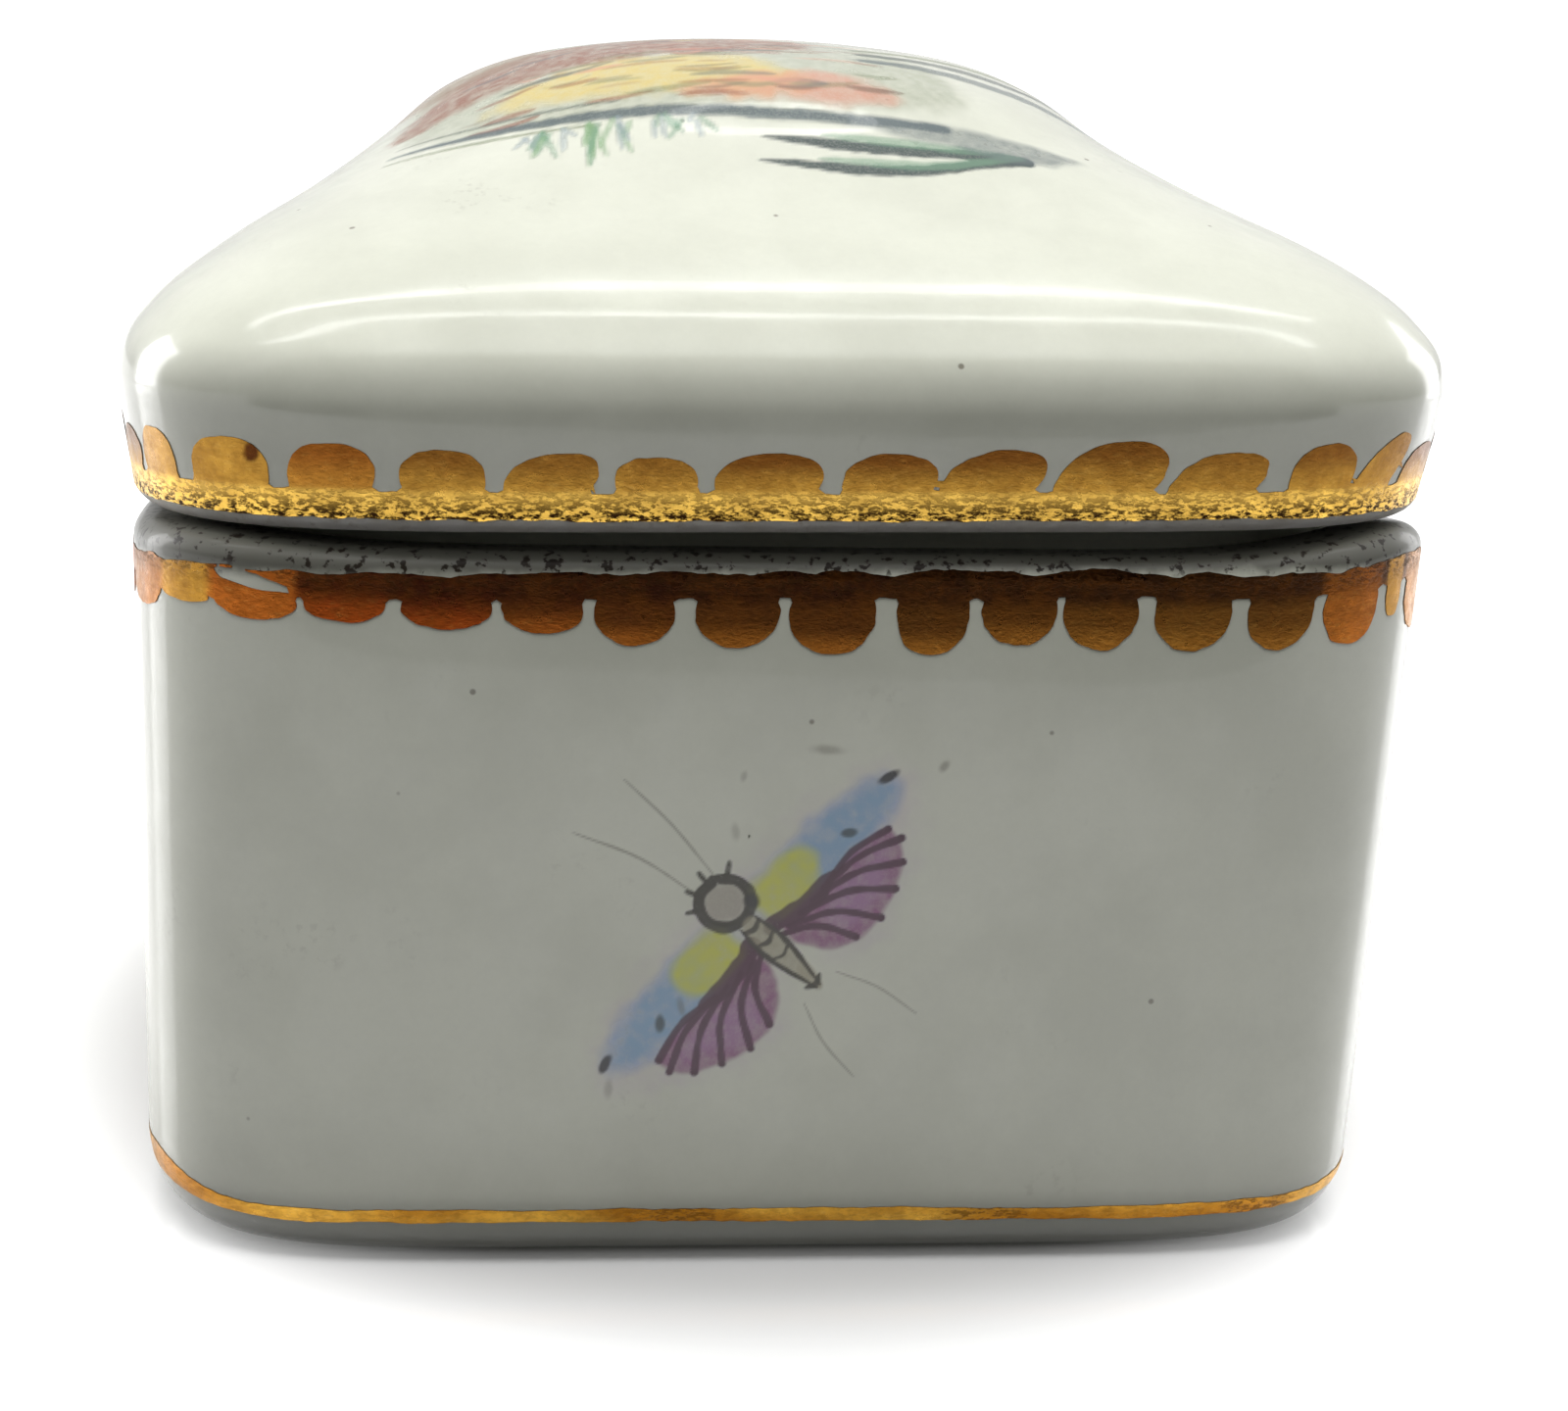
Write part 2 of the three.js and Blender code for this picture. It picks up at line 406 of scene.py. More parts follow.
class Shader:
    """A material's node tree, with short calls for the nodes that the glaze and gold use."""

    def __init__(self, name, metallic=0.0, coat=0.0):
        self.material = bpy.data.materials.new(name)
        self.material.use_nodes = True
        self.tree = self.material.node_tree
        self.tree.nodes.clear()
        output = self.tree.nodes.new("ShaderNodeOutputMaterial")
        self.surface = self.tree.nodes.new("ShaderNodeBsdfPrincipled")
        self.surface.inputs["Metallic"].default_value = metallic
        self.surface.inputs["Coat Weight"].default_value = coat
        self.tree.links.new(self.surface.outputs[0], output.inputs["Surface"])
        place = self.tree.nodes.new("ShaderNodeTexCoord")
        self.where = self.vector_math("SCALE", place.outputs["Object"], factor=1.0 / MM)

    def put(self, socket, value):
        if isinstance(value, bpy.types.NodeSocket):
            self.tree.links.new(value, socket)
        else:
            socket.default_value = value

    def vector_math(self, operation, a, b=None, factor=None):
        node = self.tree.nodes.new("ShaderNodeVectorMath")
        node.operation = operation
        self.put(node.inputs[0], a)
        if b is not None:
            self.put(node.inputs[1], b)
        if factor is not None:
            node.inputs["Scale"].default_value = factor
        return node.outputs[0]

    def math(self, operation, a, b=0.0, c=0.0, clamp=False):
        node = self.tree.nodes.new("ShaderNodeMath")
        node.operation = operation
        node.use_clamp = clamp
        for socket, value in zip(node.inputs, (a, b, c)):
            self.put(socket, value)
        return node.outputs[0]

    def noise(self, size, detail=3.0, roughness=0.55, stretch=None):
        """Noise with features about size millimetres wide."""
        where = self.where
        if stretch is not None:
            where = self.vector_math("MULTIPLY", where, stretch)
        node = self.tree.nodes.new("ShaderNodeTexNoise")
        self.put(node.inputs["Vector"], where)
        node.inputs["Scale"].default_value = 1.0 / size
        node.inputs["Detail"].default_value = detail
        node.inputs["Roughness"].default_value = roughness
        return node.outputs["Fac"]

    def spots(self, spacing):
        """Distance from scattered points, in shares of their spacing."""
        node = self.tree.nodes.new("ShaderNodeTexVoronoi")
        self.put(node.inputs["Vector"], self.where)
        node.inputs["Scale"].default_value = 1.0 / spacing
        return node.outputs["Distance"]

    def between(self, value, low, high, to_low=0.0, to_high=1.0):
        """value taken from low..high to to_low..to_high with a smooth start and end."""
        node = self.tree.nodes.new("ShaderNodeMapRange")
        node.interpolation_type = "SMOOTHSTEP"
        for socket, number in zip(node.inputs, (value, low, high, to_low, to_high)):
            self.put(socket, number)
        return node.outputs[0]

    def mix(self, share, a, b, kind="MIX"):
        node = self.tree.nodes.new("ShaderNodeMix")
        node.data_type = "RGBA"
        node.blend_type = kind
        self.put(node.inputs["Factor"], share)
        for socket, value in zip([s for s in node.inputs if s.type == "RGBA"], (a, b)):
            self.put(socket, value if isinstance(value, bpy.types.NodeSocket) else (*value, 1.0))
        return next(s for s in node.outputs if s.type == "RGBA")

    def stored(self, name):
        node = self.tree.nodes.new("ShaderNodeAttribute")
        node.attribute_name = name
        return node

    def bump(self, height, depth, normal=None):
        """Relief whose full height is depth millimetres."""
        node = self.tree.nodes.new("ShaderNodeBump")
        node.inputs["Distance"].default_value = depth * MM
        self.put(node.inputs["Height"], height)
        if normal is not None:
            self.put(node.inputs["Normal"], normal)
        return node.outputs["Normal"]

    def finish(self, colour, roughness, normal):
        self.put(self.surface.inputs["Base Color"], colour)
        self.put(self.surface.inputs["Roughness"], roughness)
        self.put(self.surface.inputs["Normal"], normal)
        return self.material


GLAZE = linear(234, 236, 220)
GLAZE_SHADE = linear(224, 226, 210)
GLAZE_DIRT = linear(120, 112, 96)


def glazed(shader):
    """Colour, roughness and relief of the old white glaze, as sockets of that shader."""
    cloud = shader.between(shader.noise(9.0, 4.0), 0.35, 0.68)
    colour = shader.mix(cloud, GLAZE, GLAZE_SHADE)
    grain = shader.between(shader.noise(0.45, 5.0, 0.7), 0.2, 0.8)
    colour = shader.mix(shader.math("MULTIPLY", grain, 0.08), colour, linear(190, 192, 176))
    smudge = shader.between(shader.noise(7.0, 4.0), 0.58, 0.74)
    dust = shader.between(shader.noise(0.55, 4.0), 0.52, 0.70)
    grime = shader.math("MULTIPLY", smudge, dust)
    colour = shader.mix(shader.math("MULTIPLY", grime, 0.20), colour, GLAZE_DIRT)
    speck = shader.between(shader.spots(4.6), 0.018, 0.042, 1.0, 0.0)
    colour = shader.mix(shader.math("MULTIPLY", speck, 0.75), colour, GLAZE_DIRT)
    roughness = shader.between(shader.noise(3.0, 4.0), 0.3, 0.7, 0.13, 0.22)
    roughness = shader.math("ADD", roughness, shader.math("MULTIPLY", grime, 0.04))
    wavy = shader.bump(shader.noise(6.0, 1.0), 0.05)
    peel = shader.bump(shader.noise(1.1, 2.0), 0.008, wavy)
    pits = shader.bump(shader.math("SUBTRACT", 1.0, speck), 0.012, peel)
    return colour, roughness, pits


def porcelain_material():
    shader = Shader("glazed_porcelain", coat=0.25)
    return shader.finish(*glazed(shader))


def base_porcelain_material():
    """The same glaze, with painted shade along the seam under the lid and painted shade darkening it towards
    the foot.
    """
    shader = Shader("porcelain_with_painted_shade", coat=0.25)
    colour, roughness, normal = glazed(shader)
    split = shader.tree.nodes.new("ShaderNodeSeparateXYZ")
    shader.put(split.inputs[0], shader.where)
    height = split.outputs["Z"]
    level = shader.math("SUBTRACT", height, shader.math("MULTIPLY", split.outputs["X"], RISE))
    ragged = shader.math("MULTIPLY", shader.noise(1.2, 3.0), 0.5)
    # painted shade: the band of glaze just under the lid's lip, which the lid's overhang shades, is darkened
    # to grey with a ragged edge
    painted_seam_shade = shader.between(shader.math("ADD", level, ragged), 34.85, 35.6, 0.0, 0.88)
    colour = shader.mix(painted_seam_shade, colour, linear(60, 58, 50))
    flecks = shader.between(shader.noise(0.5, 3.0), 0.56, 0.64)
    flecks = shader.math("MULTIPLY", flecks, shader.between(level, 34.7, 35.2))
    colour = shader.mix(flecks, colour, linear(30, 20, 8))
    # painted shade: the glaze darkens towards the foot, from 9 mm above the floor down to 2 mm
    painted_foot_shade = shader.between(height, 2.0, 9.0, 0.30, 0.0)
    colour = shader.mix(painted_foot_shade, colour, linear(150, 146, 128))
    roughness = shader.math("ADD", roughness, shader.math("MULTIPLY", painted_seam_shade, 0.3))
    return shader.finish(colour, roughness, normal)


def bisque_material():
    shader = Shader("bare_porcelain")
    cloud = shader.between(shader.noise(2.6, 4.0), 0.35, 0.65)
    colour = shader.mix(cloud, linear(246, 242, 236), linear(232, 226, 216))
    grime = shader.between(shader.noise(0.8, 5.0, 0.7), 0.55, 0.72)
    colour = shader.mix(shader.math("MULTIPLY", grime, 0.35), colour, linear(150, 130, 106))
    roughness = shader.between(shader.noise(0.5, 3.0), 0.3, 0.7, 0.62, 0.88)
    return shader.finish(colour, roughness, shader.bump(shader.noise(0.18, 3.0), 0.02))


def enamel_material():
    """The glaze again, with the painted colours laid over it where they cover it."""
    shader = Shader("painted_enamel", coat=0.25)
    colour, roughness, normal = glazed(shader)
    paint = shader.stored("paint")
    grain = shader.between(shader.noise(0.16, 4.0, 0.75), 0.30, 0.60, 1.0, 1.16)
    cover = shader.math("MULTIPLY", paint.outputs["Alpha"], grain, clamp=True)
    colour = shader.mix(cover, colour, paint.outputs["Color"])
    roughness = shader.math("ADD", roughness, shader.math("MULTIPLY", cover, 0.16))
    brushed = shader.bump(cover, 0.012, normal)
    return shader.finish(colour, roughness, brushed)


def gold_material():
    """Fired gold: its stored tone, with light and shade painted into it on the bands, mottled and speckled,
    worn where the stored amount says.
    """
    shader = Shader("fired_gold", metallic=0.92)
    tone_and_painted_light = shader.stored("tone_and_painted_light")
    wear = tone_and_painted_light.outputs["Alpha"]
    mottle = shader.between(shader.noise(1.3, 5.0, 0.65), 0.32, 0.70)
    colour = shader.mix(shader.math("MULTIPLY", mottle, 0.40), tone_and_painted_light.outputs["Color"], linear(96, 54, 8))
    lustre = shader.between(shader.noise(0.5, 3.0, 0.6, (1.0, 1.0, 2.2)), 0.52, 0.74)
    glint = shader.math("MULTIPLY", tone_and_painted_light.outputs["Color"], 0.6)
    colour = shader.mix(shader.math("MULTIPLY", lustre, glint), colour, linear(236, 192, 100))
    crack = shader.between(shader.noise(0.34, 4.0, 0.72, (0.75, 0.75, 1.7)), 0.46, 0.58)
    crack = shader.math("MULTIPLY", crack, wear, clamp=True)
    colour = shader.mix(crack, colour, linear(46, 26, 4))
    roughness = shader.between(shader.noise(0.7, 4.0), 0.3, 0.7, 0.26, 0.42)
    roughness = shader.math("ADD", roughness, shader.math("MULTIPLY", crack, 0.25))
    rough_skin = shader.bump(shader.noise(0.30, 4.0, 0.7), 0.022)
    normal = shader.bump(shader.math("SUBTRACT", 1.0, crack), 0.03, rough_skin)
    return shader.finish(colour, roughness, normal)


# ---------------------------------------------------------------- gold bands

GOLD_STEP = 0.16  # spacing of the gold's points
GOLD_LIFT = 0.04
GOLD_SINK = 0.02
LID_GOLD_FOOT = 0.64  # above the seat, where the gold begins
LID_RING_TOP = 1.93
SIDE_PITCH = 4.75

# on the front: from x, to x, height of the tip above the seat, lean to +X, brownness (painted dark reflection
# towards the tip)
LID_SCALLOPS = [
    (-31.2, -29.6, 4.2, -0.1, 0.1), (-28.7, -24.9, 4.2, 0.0, 0.15), (-24.0, -20.0, 4.1, 0.1, 0.85),
    (-18.8, -15.1, 3.9, 0.0, 0.75), (-14.2, -10.2, 3.8, 0.5, 0.7), (-9.4, -5.8, 3.6, 0.0, 0.6),
    (-4.9, -0.2, 3.8, 0.2, 0.9), (0.7, 5.0, 3.8, 0.1, 0.9), (5.3, 9.8, 4.0, 0.5, 0.9),
    (10.5, 15.4, 4.4, 0.4, 0.85), (15.9, 20.4, 3.9, 0.6, 0.65), (21.8, 25.4, 4.2, 0.1, 0.8),
    (25.9, 28.3, 4.5, 0.7, 0.45),
]
# on the front: from x, to x, height of the tip, redness, brightness (painted light on the scallop)
BASE_SCALLOPS = [
    (-30.0, -27.7, 33.0, 0.1, 1.0), (-27.5, -23.6, 32.6, 0.7, 0.95), (-23.5, -19.7, 32.85, 0.9, 0.55),
    (-19.1, -14.9, 32.65, 0.9, 0.30), (-14.5, -10.7, 32.5, 0.7, 0.25), (-10.3, -6.5, 31.9, 0.6, 0.25),
    (-5.7, -1.7, 31.85, 0.5, 0.25), (-1.3, 2.8, 31.55, 0.5, 0.25), (3.7, 7.2, 31.6, 0.4, 0.28),
    (7.7, 11.4, 32.2, 0.4, 0.30), (11.6, 15.3, 32.0, 0.35, 0.38), (16.0, 19.9, 32.0, 0.3, 0.42),
    (20.6, 24.0, 31.95, 0.35, 0.36), (24.5, 27.6, 31.9, 0.6, 0.75), (28.1, 29.1, 32.8, 0.1, 1.0),
]
BASE_RING_X = [-34.0, -28.0, -18.0, 0.0, 16.0, 26.0, 34.0]
BASE_RING_TOP = [35.0, 35.1, 35.6, 35.85, 35.95, 35.45, 35.2]
BASE_RING_FOOT = [33.8, 33.8, 34.3, 34.6, 34.75, 34.35, 34.2]


def strokes_round(front, pick, seed):
    """The hand-painted strokes of the front, and ones like them round the sides and the back."""
    rng = np.random.default_rng(seed)
    made = []
    for row in front:
        left, right = along_front(row[0]), along_front(row[1])
        made.append(((left + right) / 2, (right - left) / 2, *row[2:]))
    begin, end = along_front(front[-1][1]), ROUND + along_front(front[0][0])
    count = round((end - begin) / SIDE_PITCH)
    pitch = (end - begin) / count
    for k in range(count):
        centre = begin + (k + 0.5) * pitch + rng.uniform(-0.2, 0.2)
        half = pitch * rng.uniform(0.40, 0.455)
        made.append((centre, half, *pick(rng, centre)))
    return made


def nearest_round(along, centre):
    """Distance along the outline from centre, taken the short way round."""
    return np.mod(along - centre + ROUND / 2, ROUND) - ROUND / 2


def lid_curve():
    """Half width and height of the lid's outer profile against distance from the lip's foot."""
    profile = divide(lid_outer_profile(), 0.05)
    step = np.linalg.norm(np.diff(profile, axis=0), axis=1)
    length = np.concatenate([[0], np.cumsum(step)])
    foot = LIP_HALF - LIP_RADIUS - profile[0, 0]
    return length - foot, profile


LID_LENGTH, LID_PROFILE = lid_curve()


def base_wall():
    """Half width and height up the outside of the base, from the foot to the top of its rim."""
    profile = divide(base_profile(), 0.05)
    climbs = np.gradient(profile[:, 1]) > 1e-6
    outside = profile[:, 0] > MOUTH_HALF + RIM_INNER_RADIUS
    top = np.argmax(profile[:, 1])
    return profile[climbs & outside & (np.arange(len(profile)) <= top)]


BASE_WALL = base_wall()


def on_lid(along, climb):
    """A point of the lid's outside: distance round from the front, and up the wall from the lip's foot."""
    half = np.interp(climb, LID_LENGTH, LID_PROFILE[:, 0])
    height = np.interp(climb, LID_LENGTH, LID_PROFILE[:, 1])
    return lid_point(angle_at(along), half, height)


def on_base(along, height):
    half = np.interp(height, BASE_WALL[:, 1], BASE_WALL[:, 0])
    return base_point(angle_at(along), half, height)


def climb_at(height):
    """Distance up the lid's wall from the lip's foot, for a height above the seat."""
    wall = LID_LENGTH > 0
    return np.interp(height + SEAT, LID_PROFILE[wall, 1], LID_LENGTH[wall])


def dome_shape(along, up, centre, half, tall, lean, swell=0.32, power=2.3):
    """Positive inside one brush stroke that stands on up = 0 and is tall high."""
    waist = swell * tall
    u = nearest_round(along, centre) - lean * (up - waist)
    ratio = np.abs(u / half) ** power + np.abs((up - waist) / (tall - waist)) ** power
    return (1 - ratio ** (1 / power)) * min(half, tall - waist)


def band_grid(low, high, step):
    """Surface coordinates of a band that goes right round the box."""
    count = round(ROUND / step)
    along = (np.arange(count) / count - 0.5) * ROUND
    return np.meshgrid(along, np.arange(low, high, step), indexing="ij")


def gold_film(name, place, field, low, high, step, lift):
    """The gold film that lies wherever field is above 0, with the grid that it is made on."""
    along, up = band_grid(low, high, step)
    inside = field(along, up) > 0
    settled = settle_on_edge(field, along, up, ~inside, step)
    piece, used = film(name, place, *settled, cells_with(inside), lift, GOLD_SINK)
    return piece, used, along, up


def lid_gold_band(material):
    def pick(rng, _):
        # tip height, lean and the share of painted dark reflection for the side and back scallops
        return rng.uniform(3.7, 4.3), rng.uniform(-0.15, 0.5), rng.uniform(0.5, 0.95)

    strokes = strokes_round(LID_SCALLOPS, pick, SEED)
    foot, ring_top = float(climb_at(LID_GOLD_FOOT)), float(climb_at(LID_RING_TOP))

    def field(along, up):
        wobble = 0.05 * ripple(along / 1.1, up / 1.1, SEED + 1)
        wobble += 0.03 * ripple(along / 0.4, up / 0.4, SEED + 2)
        drift = 0.10 * ripple(along / 9.0, up * 0, SEED + 3)
        best = np.minimum(ring_top + 0.5 * drift - up, up - foot - 0.6 * np.abs(drift))
        for centre, half, tip, lean, _ in strokes:
            tall = float(climb_at(tip)) - ring_top
            best = np.maximum(best, dome_shape(along, up - ring_top, centre, half, tall, lean))
        return best + wobble

    low, high = foot - 0.3, float(climb_at(4.9))
    piece, used, along, up = gold_film("lid_gold_band", on_lid, field, low, high, GOLD_STEP, GOLD_LIFT)

    # painted dark reflection: each scallop turns brown towards its tip, by the share listed for it
    painted_dark_reflection = np.zeros(along.shape)
    for centre, half, tip, lean, share in strokes:
        tall = float(climb_at(tip)) - ring_top
        rise = (up - ring_top) / tall
        near = np.abs(nearest_round(along, centre) - lean * (up - ring_top)) < half * 1.3
        painted_dark_reflection = np.where(near, share * smoothstep(rise, 0.05, 0.85), painted_dark_reflection)
    ringed = smoothstep(up, ring_top + 0.25, ring_top - 0.15)
    # the brown is painted dark reflection; the ring below the scallops is a lighter gold, lightest towards
    # the lip's foot: painted bright reflection
    colour = blend(linear(166, 124, 48), linear(92, 50, 12), painted_dark_reflection[..., None])
    bright = blend(linear(226, 182, 84), linear(236, 190, 84), smoothstep(up, ring_top, foot)[..., None])
    reddish = smoothstep(np.abs(nearest_round(along, along_front(-22.0))), 3.2, 1.6) * (1 - ringed)
    colour = blend(colour, linear(146, 78, 20), 0.4 * reddish[..., None])
    colour = blend(colour, bright, ringed[..., None])
    wear = ringed * blend(0.25, 1.0, smoothstep(up, ring_top, foot)) + 0.10
    chip = smoothstep(dome_shape(along, up - climb_at(3.35), along_front(-25.6), 0.42, 0.75, 0.3), -0.05, 0.1)
    colour = blend(colour, linear(60, 26, 4), chip[..., None])
    store_colour(piece, "tone_and_painted_light", colour.reshape(-1, 3), wear.ravel(), used)
    return dress(piece, "lid", material)


def base_gold_band(material):
    def pick(rng, _):
        # tip height, redness and painted brightness for the side and back scallops
        return rng.uniform(31.7, 32.5), rng.uniform(0.2, 0.8), rng.uniform(0.5, 1.0)

    strokes = strokes_round(BASE_SCALLOPS, pick, SEED + 10)
    front_s = [along_front(x) for x in BASE_RING_X]
    back_top, back_foot = 35.5, 34.3

    def ring_edges(along):
        where = nearest_round(along, 0.0)
        near = smoothstep(np.abs(where), 44.0, 34.0)
        top = blend(back_top, np.interp(where, front_s, BASE_RING_TOP), near)
        foot = blend(back_foot, np.interp(where, front_s, BASE_RING_FOOT), near)
        return top, foot

    def bare_patch(along, up):
        """The place near the left front corner where the gold has come away."""
        where = nearest_round(along, 0.0)
        middle = 34.75 - 0.16 * (where - along_front(-26.0))
        ratio = ((where - along_front(-25.9)) / 1.9) ** 2 + ((up - middle) / 0.42) ** 2
        return (1 - np.sqrt(ratio)) * 0.42

    def field(along, up):
        wobble = 0.05 * ripple(along, up, SEED + 11)
        wobble += 0.04 * ripple(along / 0.35, up / 0.35, SEED + 12)
        top, foot = ring_edges(along)
        ragged = 0.16 * ripple(along / 1.7, up * 0, SEED + 13)
        best = np.minimum(top + ragged - up, up - foot)
        for centre, half, tip, _, _ in strokes:
            line = ring_edges(np.array([centre]))[1][0] + 0.1
            disc = dome_shape(along, line - up, centre, half * 0.98, line - tip, 0.0, 0.3, 2.05)
            best = np.maximum(best, disc)
        best = np.minimum(best, -bare_patch(along, up))
        return best + wobble

    low, high = 31.0, 36.3
    piece, used, along, up = gold_film("base_gold_band", on_base, field, low, high, GOLD_STEP, GOLD_LIFT)

    # painted light and shade: the gold is bright on the brighter scallops and towards their tips (low), and
    # elsewhere falls to the near-black dark colours, which are painted shade
    red, light, low = np.full(along.shape, 0.4), np.full(along.shape, 0.5), np.zeros(along.shape)
    for centre, half, tip, redness, brightness in strokes:
        near = smoothstep(np.abs(nearest_round(along, centre)), half * 1.3, half * 0.9)
        red = blend(red, redness, near)
        light = blend(light, brightness, near)
        low = blend(low, smoothstep(up, tip + 1.5, tip + 0.1), near)
    gold = blend(linear(196, 150, 58), linear(190, 74, 14), red[..., None])
    dark = blend(linear(30, 14, 3), linear(40, 9, 2), red[..., None])
    # painted shade: the ring under the lid is kept dark, except on the brightest scallops
    ringed = smoothstep(up, 33.7, 34.8) * (1 - 0.8 * smoothstep(light, 0.5, 0.95))
    share = np.clip(0.8 * light**1.5 + 0.5 * low * (1 - light), 0, 1) * (1 - 0.9 * ringed)
    colour = blend(dark, gold, share[..., None])
    wear = 0.12 + 0.5 * smoothstep(up, 34.2, 35.4)
    store_colour(piece, "tone_and_painted_light", colour.reshape(-1, 3), wear.ravel(), used)
    return dress(piece, "base", material)


def foot_gold_line(material):
    """The thin gold line just above the foot, drawn by hand: thicker at the left front corner."""
    middle_height, half_width, step, lift = 2.7, 0.36, 0.12, 0.035

    def field(along, up):
        where = nearest_round(along, 0.0)
        corner = np.exp(-(((where + 33.0) / 4.0) ** 2))
        other_corner = np.exp(-(((where - 34.0) / 4.0) ** 2))
        drift = 0.16 * ripple(along / 14.0, up * 0, SEED + 21)
        drift += 0.04 * ripple(along / 2.0, up * 0, SEED + 22)
        middle = middle_height + drift + 0.75 * corner + 0.3 * other_corner
        width = half_width + 0.05 * ripple(along / 3.0, up * 0, SEED + 23) + 0.26 * corner
        fray = 0.04 * ripple(along / 0.5, up / 0.4, SEED + 24)
        return width - np.abs(up - middle) + fray

    piece, used, along, up = gold_film("foot_gold_line", on_base, field, 1.9, 4.9, step, lift)
    streak = smoothstep(ripple(along / 6.0, up / 2.0, SEED + 25), -0.4, 0.6)
    colour = blend(linear(226, 172, 66), linear(184, 122, 30), streak[..., None])
    wear = 0.20 + 0.35 * smoothstep(ripple(along / 5.0, up * 0, SEED + 26), 0.2, 0.7)
    store_colour(piece, "tone_and_painted_light", colour.reshape(-1, 3), wear.ravel(), used)
    return dress(piece, "base", material)


# ---------------------------------------------------------------- painted enamel


class Painting:
    """Enamel colours laid over one another on points given by two plan coordinates."""

    def __init__(self, u, v, seed):
        self.shape = u.shape
        self.u, self.v = u.ravel(), v.ravel()
        self.colour = np.zeros((self.u.size, 3))
        self.cover = np.zeros(self.u.size)
        self.seed = seed

    def lay(self, picked, shade, amount):
        amount = np.clip(amount, 0, 1)
        under = self.cover[picked] * (1 - amount)
        total = amount + under
        mixed = np.asarray(shade) * amount[:, None] + self.colour[picked] * under[:, None]
        self.colour[picked] = mixed / np.maximum(total, 1e-6)[:, None]
        self.cover[picked] = total

    def near(self, line, margin):
        low, high = line.min(axis=0) - margin, line.max(axis=0) + margin
        inside = (self.u > low[0]) & (self.u < high[0]) & (self.v > low[1]) & (self.v < high[1])
        return np.flatnonzero(inside)

    def to_line(self, picked, line):
        """Distance to a line, and how far along it that is, from 0 to 1."""
        point = np.stack([self.u[picked], self.v[picked]], axis=1)
        best, share = np.full(len(picked), 1e9), np.zeros(len(picked))
        spans = len(line) - 1
        for k in range(spans):
            a, b = line[k], line[k + 1]
            span = b - a
            t = np.clip(((point - a) @ span) / max(span @ span, 1e-12), 0, 1)
            gap = np.linalg.norm(point - a - t[:, None] * span, axis=1)
            closer = gap < best
            best = np.where(closer, gap, best)
            share = np.where(closer, (k + t) / spans, share)
        return best, share

    def stroke(self, points, width, shade, strength=0.9, start=0.35, end=0.35, soft=0.06):
        """A brush line: start and end are its width at the tips, as shares of the full width."""
        line = smooth_line(points, 8)
        picked = self.near(line, width + soft)
        gap, share = self.to_line(picked, line)
        belly = np.sin(np.pi * np.clip(share, 0, 1)) ** 0.6
        tip = blend(start, end, share)
        half = width / 2 * blend(tip, 1.0, belly)
        half = half * (1 + 0.18 * ripple(self.u[picked] / 0.5, self.v[picked] / 0.5, self.seed))
        self.lay(picked, shade, strength * smoothstep(half - gap, -soft, soft))

    def wash(self, points, shade, strength=0.8, soft=0.25, grain=0.25, grain_size=0.35):
        """A filled shape with a soft, slightly uneven edge."""
        line = smooth_line(points, 8, closed=True)
        line = np.vstack([line, line[:1]])
        picked = self.near(line, soft * 2)
        gap, _ = self.to_line(picked, line)
        u, v = self.u[picked], self.v[picked]
        inside = np.zeros(len(picked), bool)
        for (x1, y1), (x2, y2) in zip(line, line[1:]):
            crosses = (y1 > v) != (y2 > v)
            reach = (x2 - x1) * (v - y1) / (y2 - y1 if y2 != y1 else 1e-9) + x1
            inside ^= crosses & (u < reach)
        depth = np.where(inside, gap, -gap)
        depth = depth + 0.5 * soft * ripple(u / 0.8, v / 0.8, self.seed + 1)
        speckle = 1 - grain * (0.5 + 0.5 * ripple(u / grain_size, v / grain_size, self.seed + 2))
        self.lay(picked, shade, strength * speckle * smoothstep(depth, -soft, soft))

    def dab(self, centre, size, shade, strength=0.9, turn=0.0, soft=0.35):
        """A touch of the brush: an oval of half sizes size, turned by turn degrees."""
        c, s = math.cos(math.radians(turn)), math.sin(math.radians(turn))
        du, dv = self.u - centre[0], self.v - centre[1]
        p, q = (du * c + dv * s) / size[0], (dv * c - du * s) / size[1]
        far = np.sqrt(p * p + q * q) * (1 + 0.12 * ripple(self.u / 0.4, self.v / 0.4, self.seed + 3))
        picked = np.flatnonzero(far < 1 + soft)
        self.lay(picked, shade, strength * smoothstep(far[picked], 1 + soft, 1 - soft))


ENAMEL_LIFT = 0.012
EDGE_RINGS = 8


def painted_film(name, body, place, s, t, painting, material):
    """The enamel that a painting holds: a film that sinks into the glaze round what it covers."""
    covered = (painting.cover > 0.01).reshape(painting.shape)
    lift = np.where(covered, ENAMEL_LIFT, -ENAMEL_LIFT)
    for ring in range(1, EDGE_RINGS + 1):
        grown = covered.copy()
        grown[1:] |= covered[:-1]
        grown[:-1] |= covered[1:]
        grown[:, 1:] |= covered[:, :-1]
        grown[:, :-1] |= covered[:, 1:]
        lift[grown & ~covered] = ENAMEL_LIFT * (1 - 2 * ring / EDGE_RINGS)
        covered = grown
    kept = covered[1:, 1:] & covered[1:, :-1] & covered[:-1, 1:] & covered[:-1, :-1]
    piece, used = film(name, place, s, t, kept, lift, 2.5 * ENAMEL_LIFT)
    store_colour(piece, "paint", painting.colour, painting.cover, used)
    return dress(piece, body, material)


BUTTERFLY_CENTRE = (-2.5, 18.0)  # x and z on the front wall
BUTTERFLY_TURN = math.radians(48.5)  # the wings' slope

WING_BLUE = linear(150, 186, 214)
WING_HAZE = linear(178, 192, 220)
WING_GREEN = linear(222, 224, 96)
WING_PURPLE = linear(150, 96, 134)
WING_LILAC = linear(206, 176, 214)
VEIN = linear(58, 10, 40)
BODY_LINE = linear(32, 28, 8)
INK = linear(14, 12, 10)
PENCIL = linear(112, 106, 88)


